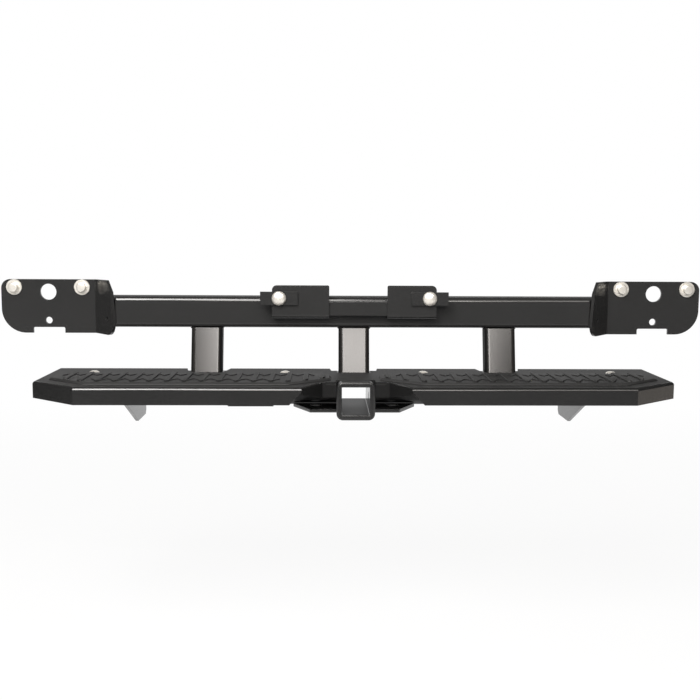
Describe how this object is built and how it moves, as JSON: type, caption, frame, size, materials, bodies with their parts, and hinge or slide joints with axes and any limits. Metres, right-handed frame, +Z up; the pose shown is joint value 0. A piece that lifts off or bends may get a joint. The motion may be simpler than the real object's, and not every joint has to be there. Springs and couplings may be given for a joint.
{
  "type": "hitch step",
  "caption": "Wide black rear step with ribbed tread pads and a square receiver tube, carried by posts below a crossbar with folded end plates that bolt to a vehicle.",
  "frame": {"origin": "centre of the hitch pin's cross hole, on the middle of the receiver tube", "axes": "+X to the right seen from behind the vehicle, +Y towards the vehicle, +Z up; the step's front and the receiver's mouth look along -Y"},
  "size_m": [1.402, 0.3165, 0.2645],
  "materials": {
    "frame_coat": "gloss black powder coat",
    "plate_coat": "satin black powder coat",
    "post_coat": "gloss black powder coat that reads grey in the light",
    "pad_rubber": "matte moulded rubber",
    "zinc": "bright zinc plate"
  },
  "bodies": {
    "root": {"crossbar": "frame_coat", "end_bracket_left": "plate_coat", "end_bracket_right": "plate_coat", "end_washers_left": "zinc", "end_washers_right": "zinc", "end_bolts_left": "zinc", "end_bolts_right": "zinc", "mount_bar": "frame_coat", "centre_bracket_left": "plate_coat", "centre_bracket_right": "plate_coat", "strap_left": "plate_coat", "strap_right": "plate_coat", "strap_bolts": "zinc", "strap_nuts": "zinc", "post_left": "post_coat", "post_centre": "post_coat", "post_right": "post_coat", "receiver_tube": "frame_coat", "receiver_collar": "frame_coat", "chain_plate_left": "frame_coat", "chain_plate_right": "frame_coat", "crossmember_left": "frame_coat", "crossmember_right": "frame_coat", "gusset_left": "plate_coat", "gusset_right": "plate_coat", "step_rail_left": "frame_coat", "step_rail_right": "frame_coat", "step_plate": "frame_coat", "tread_pad_left": "pad_rubber", "tread_pad_right": "pad_rubber", "step_bolts": "zinc", "step_nuts": "zinc", "socket_bracket": "plate_coat"}
  },
  "joints": []
}
